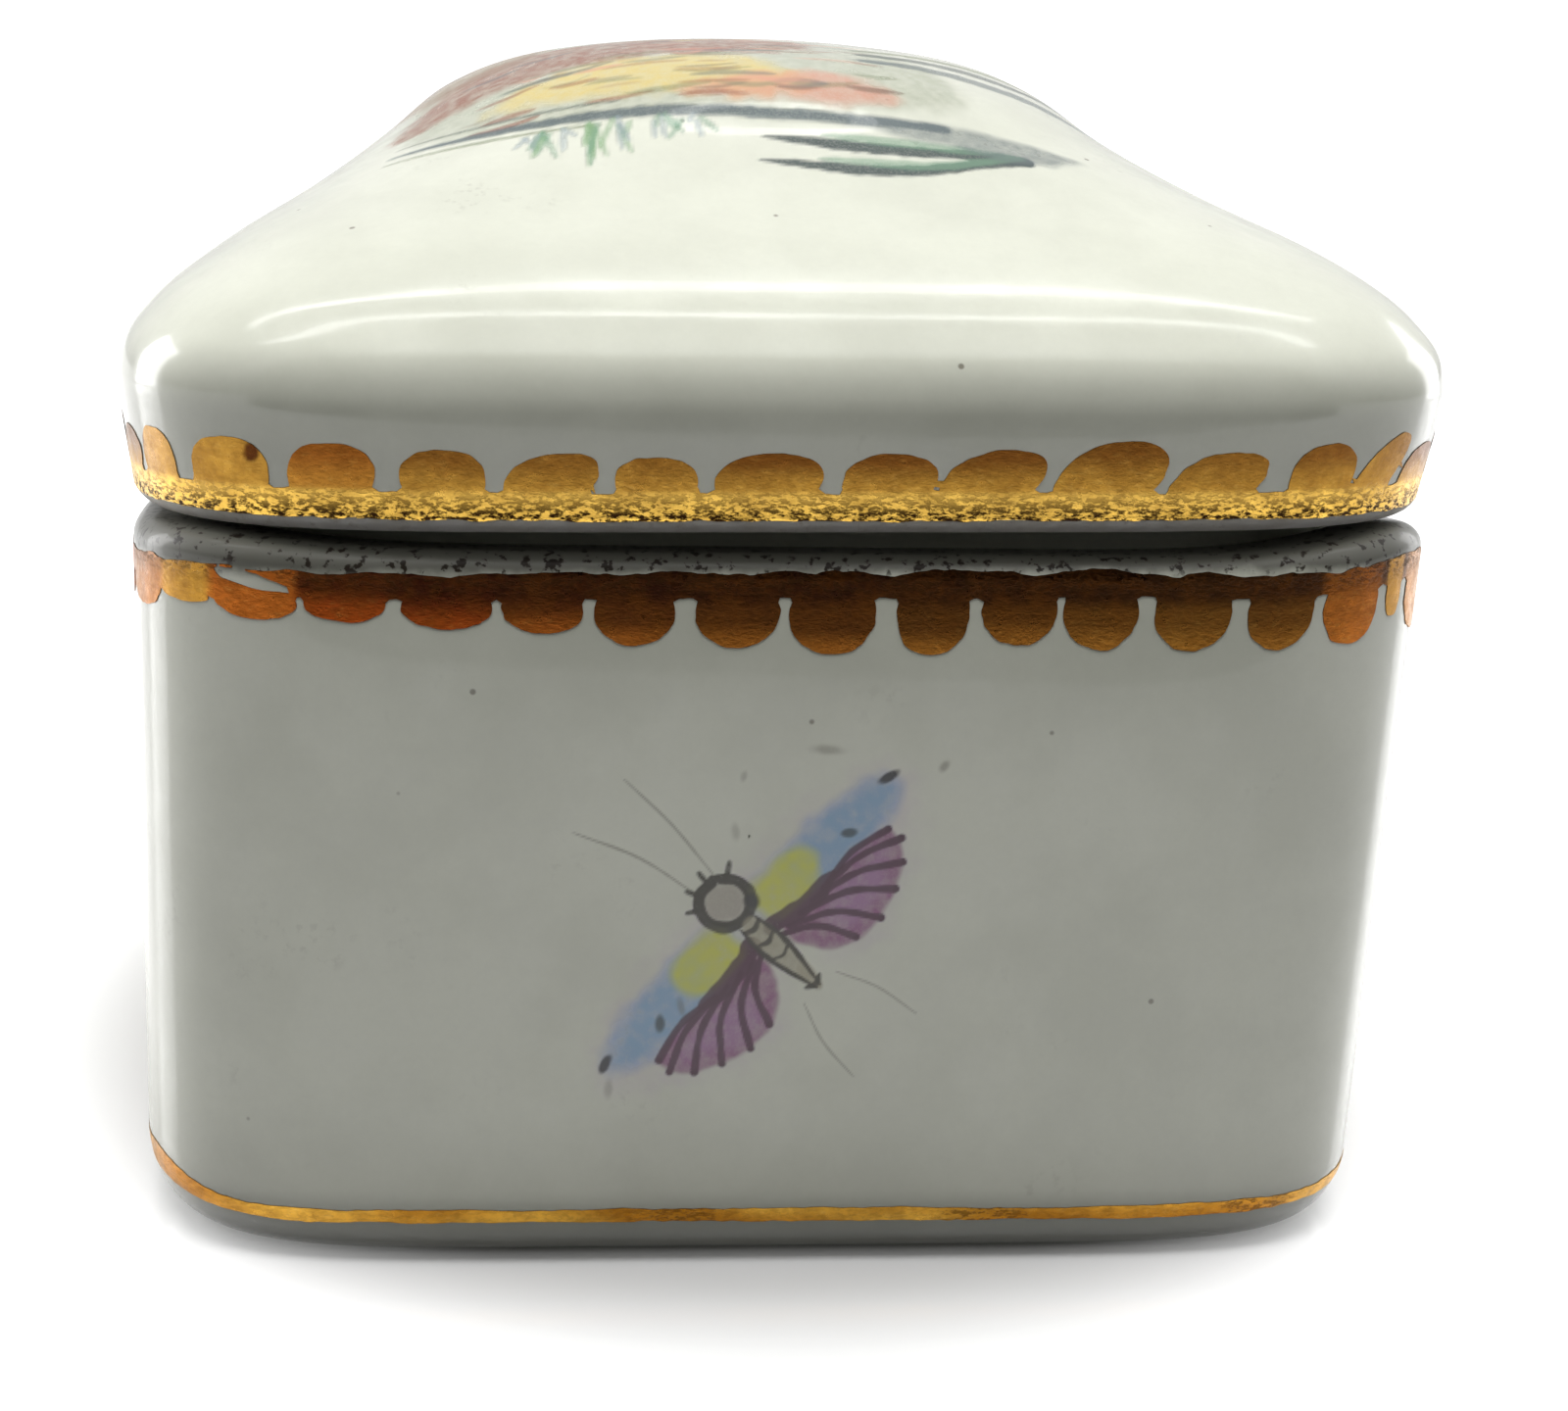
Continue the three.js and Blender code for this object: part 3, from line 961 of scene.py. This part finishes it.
def paint_butterfly(art):
    """Drawn along its own axes: u out along the wings, v back towards the tail."""
    for side in (1, -1):
        def at(*points):
            return [(side * u, v) for u, v in points]

        art.wash(at((0.8, -1.2), (5.0, -1.9), (9.2, -0.9), (10.6, 0.6), (9.0, 2.6), (6.0, 4.6), (2.4, 4.9)),
                 WING_LILAC, 0.22, 1.0, 0.5)
        art.wash(at((0.9, -0.9), (4.2, -1.5), (7.6, -1.2), (9.7, -0.4), (10.0, 0.5), (8.4, 1.5),
                    (5.0, 1.5), (1.4, 1.2)), WING_HAZE, 0.7, 0.35, 0.4)
        art.wash(at((3.2, -1.0), (6.8, -0.9), (9.2, -0.2), (9.3, 0.6), (7.0, 1.2), (3.6, 1.2)),
                 WING_BLUE, 0.85, 0.45, 0.5)
        art.wash(at((0.9, -0.8), (2.6, -1.2), (4.3, -1.0), (4.6, 0.2), (3.4, 1.2), (1.4, 1.2)),
                 WING_GREEN, 0.95, 0.35, 0.3)
        art.wash(at((1.0, 1.3), (3.6, 1.3), (6.4, 1.3), (7.9, 1.7), (7.6, 3.0), (6.0, 4.1),
                    (3.9, 4.6), (2.2, 4.2), (1.1, 2.9)), WING_PURPLE, 0.88, 0.16, 0.3)
        art.wash(at((2.6, 2.4), (6.2, 1.9), (7.2, 2.4), (5.4, 3.7), (3.2, 4.0)), WING_LILAC, 0.38, 0.5, 0.5)
        art.stroke(at((0.7, 1.0), (2.6, 1.45), (4.6, 1.3)), 0.95, VEIN, 0.92, 1.0, 0.3)
        for tip_u, tip_v, bow in ((7.9, 1.7, -0.1), (8.0, 2.5, 0.1), (7.2, 3.4, 0.25),
                                  (6.0, 4.1, 0.35), (4.5, 4.6, 0.4), (3.0, 4.4, 0.35)):
            root = (1.0 + 0.42 * tip_u - 0.5 * tip_v + 0.6, 1.35 + 0.05 * tip_v)
            middle = ((root[0] + tip_u) / 2 + bow, (root[1] + tip_v) / 2 - 0.35)
            art.stroke(at(root, middle, (tip_u, tip_v)), 0.34, VEIN, 0.92, 0.8, 1.2)
            art.dab(at((tip_u, tip_v))[0], (0.16, 0.12), VEIN, 0.8)
        art.dab(at((9.75, -0.1))[0], (0.52, 0.23), INK, 0.95, 18 * side)
        art.dab(at((6.5, 0.45))[0], (0.42, 0.22), linear(50, 62, 62), 0.85, 40 * side)
        art.stroke(at((0.6, -2.6), (1.1, -6.0), (1.2 if side > 0 else 2.3, -9.2)), 0.10, PENCIL, 0.6)
        art.stroke(at((1.1, 4.9), (1.9, 7.0), (2.2, 9.4)), 0.09, PENCIL, 0.55)

    art.dab((0.0, -1.5), (1.05, 1.05), linear(178, 172, 160), 0.75)
    turns = np.radians(np.linspace(-60, 290, 9))
    for radius, width in ((1.3, 0.5), (1.08, 0.26)):
        ring = [(radius * math.cos(a), -1.5 + radius * math.sin(a)) for a in turns]
        art.stroke(ring, width, BODY_LINE, 0.92, 0.7, 0.9)
    for bearing in (-150, -118, -86, -40):
        c, s = math.cos(math.radians(bearing)), math.sin(math.radians(bearing))
        hair = [(1.2 * c, -1.5 + 1.2 * s), (1.95 * c + 0.1, -1.5 + 1.95 * s)]
        art.stroke(hair, 0.26, BODY_LINE, 0.85, 1.0, 0.8)
    art.wash([(-0.45, 0.2), (0.5, 0.1), (0.62, 2.4), (0.3, 4.6), (-0.15, 4.8), (-0.5, 2.6)],
             linear(176, 170, 146), 0.8, 0.12)
    for side in (1, -1):
        art.stroke([(0.48 * side, 0.0), (0.62 * side, 2.0), (0.12 * side, 4.8)], 0.28, BODY_LINE, 0.92)
    for v, width in ((0.35, 0.3), (1.3, 0.26), (2.3, 0.2), (4.5, 0.34)):
        art.stroke([(-0.5, v - 0.1), (0.0, v + 0.12), (0.5, v - 0.1)], width, BODY_LINE, 0.9)
    art.dab((0.95, -0.6), (0.36, 0.4), INK, 0.95)


def stray_marks(art, places, seed):
    """Faint smudges and loose flecks of colour about the painting."""
    rng = np.random.default_rng(seed)
    for u, v in places:
        turn = rng.uniform(0, 180)
        size = rng.uniform(0.25, 0.7), rng.uniform(0.12, 0.22)
        art.dab((u, v), size, PENCIL, rng.uniform(0.25, 0.6), turn, 0.6)


def butterfly_enamel(material):
    step = 0.09
    x, z = np.meshgrid(np.arange(-15.0, 9.5, step), np.arange(6.0, 29.5, step), indexing="ij")

    def place(x, z):
        half = np.interp(z, BASE_WALL[:, 1], BASE_WALL[:, 0])
        quarter = np.linspace(-math.pi, 0.0, 4001)
        reach, _ = oval(quarter, BASE_SQUARENESS)
        angle = np.interp(x / half, reach * np.cos(quarter), quarter)
        return base_point(angle, half, z)

    c, s = math.cos(BUTTERFLY_TURN), math.sin(BUTTERFLY_TURN)
    du, dv = x - BUTTERFLY_CENTRE[0], z - BUTTERFLY_CENTRE[1]
    art = Painting(du * c + dv * s, du * s - dv * c, SEED + 30)
    paint_butterfly(art)
    flecks = [(5.1, -5.2), (2.9, -3.6), (8.7, -3.2), (-5.2, 0.6), (-10.6, 0.9), (11.9, 1.5)]
    stray_marks(art, flecks, SEED + 31)
    return painted_film("butterfly_enamel", "base", place, x, z, art, material)


FEATHER_RUST = linear(146, 70, 42)
FEATHER_YELLOW = linear(230, 208, 128)
FEATHER_PINK = linear(222, 158, 134)
FEATHER_GREEN = linear(124, 134, 98)
LEAF = linear(120, 160, 130)
LEAF_DARK = linear(50, 68, 66)
SLATE = linear(92, 106, 108)


def paint_songbird(art):
    """A small bird at rest on a leafy sprig, seen from above: u is x and v is y on the crown."""
    body = [(-19.5, -16.5), (-12.0, -19.6), (-2.0, -20.2), (6.0, -19.4), (9.0, -16.5), (4.0, -10.0),
            (-4.0, -5.5), (-13.0, -4.8), (-19.5, -8.5)]
    art.wash(body, FEATHER_GREEN, 0.42, 0.8, 0.4)
    art.wash([(-15.5, -16.5), (-8.0, -18.4), (0.0, -18.8), (-2.0, -14.8), (-10.0, -13.5)],
             FEATHER_YELLOW, 0.8, 0.8, 0.3)
    art.wash([(-6.0, -18.6), (1.0, -19.6), (5.5, -18.6), (1.0, -16.6)], FEATHER_PINK, 0.75, 0.6, 0.3)
    art.wash([(-20.5, -14.5), (-16.0, -13.8), (-7.0, -13.6), (1.0, -12.0), (0.0, -7.5),
              (-9.0, -6.0), (-17.5, -8.5)], FEATHER_RUST, 0.78, 0.7, 0.45)
    rng = np.random.default_rng(SEED + 42)
    shades = (FEATHER_RUST, SLATE, FEATHER_GREEN, FEATHER_PINK, linear(120, 96, 78))
    for k in range(90):
        u, v, reach = rng.uniform(-17.5, 4.0), rng.uniform(-19.0, -6.5), rng.uniform(1.5, 4.5)
        bow, rise = rng.uniform(-0.3, 0.1), rng.uniform(-0.3, 0.5)
        art.stroke([(u, v), (u + reach / 2, v + bow), (u + reach, v + rise)], rng.uniform(0.2, 0.55),
                   shades[k % 5], rng.uniform(0.25, 0.65), 0.2, 0.3, 0.15)
    art.stroke([(-20.5, -17.6), (-15.5, -18.9), (-8.5, -19.9), (2.2, -20.6), (7.5, -20.4)],
               0.75, SLATE, 0.85, 0.25, 0.8, 0.15)
    art.stroke([(-20.8, -18.6), (-16.0, -19.7), (-10.0, -20.5)], 0.3, FEATHER_GREEN, 0.7, soft=0.12)
    art.stroke([(-20.2, -16.4), (-15.0, -17.9), (-9.0, -18.9)], 0.26, LEAF_DARK, 0.6, soft=0.1)
    for tip, bend in (((-2.0, -21.9), (4.5, -22.6)), ((-2.3, -23.6), (5.0, -24.2))):
        art.stroke([tip, bend, (11.4, -22.2)], 0.85, LEAF_DARK, 0.85, 0.05, 1.0, 0.12)
        art.stroke([(tip[0] + 3.0, tip[1] + 0.15), (bend[0] + 1.5, bend[1] + 0.55), (11.2, -21.9)],
                   0.7, LEAF, 0.6, 0.1, 0.6, 0.15)
    art.wash([(2.5, -20.6), (8.0, -20.2), (14.5, -20.3), (12.0, -22.3), (8.0, -22.0)], SLATE, 0.7, 0.4, 0.3)
    rng = np.random.default_rng(SEED + 41)
    for k in range(34):
        u = rng.uniform(-14.0, -5.0)
        length = rng.uniform(0.8, 2.6) * (1.3 - abs(u + 10.5) / 6.0)
        shade = (LEAF, linear(130, 170, 120), linear(150, 166, 170))[k % 3]
        start = (u, -20.4 + rng.uniform(-0.5, 0.3))
        lean = rng.uniform(-0.9, 0.9)
        art.stroke([start, (u + lean / 2, start[1] - length / 2), (u + lean, start[1] - length)],
                   0.34, shade, 0.55, 0.8, 0.2, 0.12)
    # the head and beak, the folded wing and the tail, on the part of the crown that faces up
    art.wash([(-18.5, -9.5), (-14.0, -8.5), (-12.0, -3.5), (-15.0, 0.5), (-19.5, -1.0), (-21.0, -5.5)],
             linear(150, 120, 92), 0.75, 0.6, 0.35)
    art.stroke([(-20.4, -3.8), (-22.4, -2.6), (-23.4, -2.2)], 0.8, LEAF_DARK, 0.85, 1.0, 0.1, 0.1)
    art.dab((-17.6, -2.6), (0.55, 0.5), INK, 0.95)
    art.dab((-17.4, -2.4), (0.16, 0.15), linear(245, 245, 238), 0.95)
    for k in range(7):
        feather = [(-8.0 + 1.2 * k, -9.0 + 0.5 * k), (1.0 + k, -5.0 + 0.6 * k),
                   (9.0 + 0.7 * k, 0.5 + 0.9 * k)]
        art.stroke(feather, 0.95, (FEATHER_RUST, SLATE, FEATHER_YELLOW)[k % 3], 0.62, 0.5, 0.15, 0.2)
    for k in range(3):
        art.stroke([(4.0, -14.0 + 1.5 * k), (12.0, -13.0 + 2.0 * k), (19.0, -11.0 + 3.2 * k)],
                   1.1, (SLATE, LEAF_DARK, FEATHER_GREEN)[k], 0.7, 0.6, 0.2, 0.2)
    sprig = [(-20.0, 8.0), (-10.0, 10.5), (2.0, 8.5), (13.0, 11.5)]
    art.stroke(sprig, 0.5, linear(104, 84, 58), 0.85, 0.6, 0.3, 0.1)
    for k, (u, v) in enumerate(smooth_line(sprig, 3)[1:-1]):
        side = 1 if k % 2 else -1
        art.wash([(u, v), (u + 1.6, v + 1.2 * side), (u + 3.2, v + 3.4 * side), (u + 0.8, v + 2.4 * side)],
                 (LEAF, linear(130, 170, 120))[k % 2], 0.75, 0.2, 0.3)
        midrib = [(u, v), (u + 1.5, v + 1.7 * side), (u + 3.1, v + 3.3 * side)]
        art.stroke(midrib, 0.16, LEAF_DARK, 0.7, soft=0.08)


def crown_profile_at(x, y):
    """Height of the crown above each plan point, found by halving the interval."""
    crown = LID_PROFILE[LID_PROFILE[:, 1] > SEAT + CROWN[3][1]]
    low, high = np.zeros(x.shape), np.full(x.shape, len(crown) - 1.0)
    row = np.arange(len(crown), dtype=float)
    for _ in range(30):
        middle = (low + high) / 2
        half = np.maximum(np.interp(middle, row, crown[:, 0]), 1e-6)
        height = np.interp(middle, row, crown[:, 1])
        squareness, shift = lid_outline(half, height - SEAT)
        across = np.abs((x - shift) / half) ** squareness
        beyond = across + np.abs(y / (half * LENGTH_PER_WIDTH)) ** squareness > 1
        high = np.where(beyond, middle, high)
        low = np.where(beyond, low, middle)
    return np.interp(low, row, crown[:, 1])


def songbird_enamel(material):
    step = 0.17
    x, y = np.meshgrid(np.arange(-25.0, 21.0, step), np.arange(-26.5, 16.0, step), indexing="ij")

    def place(x, y):
        return np.stack([x, y, crown_profile_at(x, y) + RISE * x], axis=-1)

    art = Painting(x, y, SEED + 40)
    paint_songbird(art)
    return painted_film("songbird_enamel", "lid", place, x, y, art, material)


# ---------------------------------------------------------------- assembling


def dress(piece, body, material):
    piece.data.materials.append(material)
    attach(piece, body)
    return piece


def porcelain_shells(material, base_material):
    base = turned_shell("base_porcelain", base_profile(), base_point, 0.8)
    dress(base, "base", base_material)
    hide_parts("base")
    profile = np.vstack([lid_inner_profile()[::-1], lid_outer_profile()[1:]])
    lid = turned_shell("lid_porcelain", profile, lid_point, 0.95)
    dress(lid, "lid", material)
    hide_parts("lid")


def bisque_rings(material):
    """The unglazed lip of the lid below its gold, and the unglazed foot."""
    lip_top = float(climb_at(LID_GOLD_FOOT)) + 0.1
    flat_width = LIP_HALF - LIP_RADIUS - (MOUTH_HALF - FLANGE_CLEARANCE)
    along, up = band_grid(0.2 - flat_width, lip_top, 0.24)
    kept = np.ones((along.shape[0], along.shape[1] - 1), bool)
    lip, _ = film("lid_bisque_lip", on_lid, along, up, kept, 0.015, 0.02)
    dress(lip, "lid", material)

    foot_outer = BASE_HALF - BASE_TAPER - BOTTOM_INSET
    foot_inner = foot_outer - FOOT_WIDTH + 0.4

    def on_foot(along, inward):
        return base_point(angle_at(along), foot_outer - inward, np.zeros(np.shape(inward)))

    along, inward = band_grid(0.0, foot_outer - foot_inner, 0.5)
    kept = np.ones((along.shape[0], along.shape[1] - 1), bool)
    foot, _ = film("foot_bisque_ring", on_foot, along[::-1], inward, kept, 0.01, 0.02)
    dress(foot, "base", material)


# ---------------------------------------------------------------- studio and camera


def stage_material(name, colour, roughness, ior):
    """Pale card with a faint uneven tooth."""
    shader = Shader(name)
    shader.surface.inputs["IOR"].default_value = ior
    cloud = shader.between(shader.noise(60.0, 2.0), 0.3, 0.7)
    shade = shader.mix(cloud, colour, [0.985 * part for part in colour])
    satin = shader.between(shader.noise(25.0, 2.0), 0.3, 0.7, roughness, roughness + 0.03)
    return shader.finish(shade, satin, shader.bump(shader.noise(1.5, 2.0), 0.002))


def glowing(material, strength):
    """Makes a card give off white light; returns its surface node."""
    surface = next(node for node in material.node_tree.nodes if node.type == "BSDF_PRINCIPLED")
    surface.inputs["Emission Color"].default_value = (1.0, 1.0, 1.0, 1.0)
    surface.inputs["Emission Strength"].default_value = strength
    return surface


def set_range(node, from_low, from_high, to_low, to_high):
    names = ("From Min", "From Max", "To Min", "To Max")
    for name, number in zip(names, (from_low, from_high, to_low, to_high)):
        node.inputs[name].default_value = number


def painted_glow_away_from_box(material):
    """Painted light: the card glows more the further it lies from the foot of the box, washing it out to
    plain white a little way out.
    """
    tree = material.node_tree
    surface = glowing(material, 0.0)
    place = tree.nodes.new("ShaderNodeNewGeometry")
    shrink = tree.nodes.new("ShaderNodeVectorMath")
    shrink.operation = "DIVIDE"
    shrink.inputs[1].default_value = (base_high[0] * MM, base_high[1] * MM, 1.0)
    tree.links.new(place.outputs["Position"], shrink.inputs[0])
    out = tree.nodes.new("ShaderNodeVectorMath")
    out.operation = "LENGTH"
    tree.links.new(shrink.outputs[0], out.inputs[0])
    fade = tree.nodes.new("ShaderNodeMapRange")
    fade.interpolation_type = "SMOOTHSTEP"
    tree.links.new(out.outputs["Value"], fade.inputs["Value"])
    set_range(fade, 1.0, 1.55, 0.0, 0.75)
    tree.links.new(fade.outputs[0], surface.inputs["Emission Strength"])


def quad(name, corners, material):
    mesh = bpy.data.meshes.new(name)
    mesh.from_pydata([tuple(part * MM for part in corner) for corner in corners], [], [(0, 1, 2, 3)])
    sheet = bpy.data.objects.new(name, mesh)
    bpy.context.scene.collection.objects.link(sheet)
    sheet.data.materials.append(material)
    return sheet


def soft_light(name, place, aim, size, watts):
    data = bpy.data.lights.new(name, "AREA")
    data.shape = "RECTANGLE"
    data.size, data.size_y = size[0] * MM, size[1] * MM
    data.energy = watts
    lamp = bpy.data.objects.new(name, data)
    lamp.location = Vector(place) * MM
    lamp.rotation_euler = (Vector(aim) - Vector(place)).to_track_quat("-Z", "Y").to_euler()
    bpy.context.scene.collection.objects.link(lamp)
    return lamp


def surround():
    """An even white surround above and behind, fading to dark below the front."""
    world = bpy.data.worlds.new("white_surround")
    bpy.context.scene.world = world
    world.use_nodes = True
    tree = world.node_tree
    tree.nodes.clear()

    def math_node(operation, a, b):
        node = tree.nodes.new("ShaderNodeMath")
        node.operation = operation
        for socket, value in zip(node.inputs, (a, b)):
            if isinstance(value, bpy.types.NodeSocket):
                tree.links.new(value, socket)
            else:
                socket.default_value = value
        return node.outputs[0]

    output = tree.nodes.new("ShaderNodeOutputWorld")
    glow = tree.nodes.new("ShaderNodeBackground")
    tree.links.new(glow.outputs[0], output.inputs["Surface"])
    place = tree.nodes.new("ShaderNodeTexCoord")
    split = tree.nodes.new("ShaderNodeSeparateXYZ")
    tree.links.new(place.outputs["Generated"], split.inputs[0])
    upward = math_node("MULTIPLY", split.outputs["Z"], 3.3)
    backward = math_node("MULTIPLY", split.outputs["Y"], 1.3)
    sideways = math_node("MULTIPLY", math_node("ABSOLUTE", split.outputs["X"], 0.0), 0.6)
    open_side = math_node("ADD", math_node("ADD", upward, sideways), backward)
    fade = tree.nodes.new("ShaderNodeMapRange")
    fade.interpolation_type = "SMOOTHSTEP"
    tree.links.new(open_side, fade.inputs["Value"])
    set_range(fade, -0.3, 1.65, 0.04, 0.86)
    tree.links.new(fade.outputs[0], glow.inputs["Strength"])


def floor_card(level):
    """A pale floor that throws no light back up on the box."""
    pale = stage_material("floor_card", (0.85, 0.85, 0.85), 0.10, 1.7)
    painted_glow_away_from_box(pale)
    reach = 4000.0
    corners = [(-reach, -reach, level), (reach, -reach, level), (reach, reach, level), (-reach, reach, level)]
    quad("floor", corners, pale).visible_diffuse = False


def backdrop():
    """Four white cards far off, which neither light the box nor show in its glaze."""
    white = stage_material("backdrop_card", (0.9, 0.9, 0.9), 0.9, 1.3)
    glowing(white, 1.0)
    far, foot = 3900.0, -10.0
    corners = [(-far, -far), (far, -far), (far, far), (-far, far)]
    for number, ((x1, y1), (x2, y2)) in enumerate(zip(corners, corners[1:] + corners[:1])):
        outline = [(x1, y1, foot), (x2, y2, foot), (x2, y2, far), (x1, y1, far)]
        sheet = quad(f"backdrop_{number}", outline, white)
        sheet.visible_diffuse = False
        sheet.visible_glossy = False
        sheet.visible_shadow = False


def front_card():
    """A dark card before the box, which only its glaze sees."""
    dark = stage_material("dark_card", (0.03, 0.03, 0.03), 0.9, 1.3)
    front, side, top = -150.0, 170.0, 260.0
    outline = [(-side, front, 0), (side, front, 0), (side, front, top), (-side, front, top)]
    card = quad("front_card", outline, dark)
    card.visible_camera = False
    card.visible_shadow = False
    card.visible_diffuse = False


def studio():
    """The cards, the two tubes that draw twin lines on the lid's shoulder, and three soft lights."""
    floor_card(base_low[2] - 0.03)
    backdrop()
    front_card()
    for number, y in enumerate((-12.0, 118.0)):
        soft_light(f"tube_{number}", (0, y, 500), (0, y * 0.2, 30), (620, 24), 0.3)
    soft_light("front_top", (0, -160, 480), (0, -36, 25), (300, 120), 0.95).visible_glossy = False
    soft_light("left_side", (-420, 230, 140), (0, 10, 20), (200, 280), 0.9)
    soft_light("right_side", (420, 230, 140), (0, 10, 20), (200, 280), 0.55)
    surround()
    bpy.context.scene.view_settings.view_transform = "Standard"


def camera():
    """Looks down at the front from a little to the left, close by, rolled slightly."""
    place = Vector((-15.14, -140.58, 54.30))
    yaw, pitch, roll = math.radians(7.53), math.radians(13.61), math.radians(2.98)
    forward = Vector((math.sin(yaw) * math.cos(pitch), math.cos(yaw) * math.cos(pitch), -math.sin(pitch)))
    level = forward.cross(Vector((0, 0, 1))).normalized()
    upright = level.cross(forward)
    right = level * math.cos(roll) + upright * math.sin(roll)
    up = upright * math.cos(roll) - level * math.sin(roll)
    data = bpy.data.cameras.new("camera")
    data.lens = 53.5
    data.sensor_width = 36.0
    data.clip_start, data.clip_end = 0.01, 20.0
    view = bpy.data.objects.new("camera", data)
    view.matrix_world = Matrix((
        (right.x, up.x, -forward.x, place.x * MM),
        (right.y, up.y, -forward.y, place.y * MM),
        (right.z, up.z, -forward.z, place.z * MM),
        (0, 0, 0, 1),
    ))
    bpy.context.scene.collection.objects.link(view)
    bpy.context.scene.camera = view


glaze = porcelain_material()
gold = gold_material()
enamel = enamel_material()
porcelain_shells(glaze, base_porcelain_material())
bisque_rings(bisque_material())
lid_gold_band(gold)
base_gold_band(gold)
foot_gold_line(gold)
butterfly_enamel(enamel)
songbird_enamel(enamel)
studio()
camera()
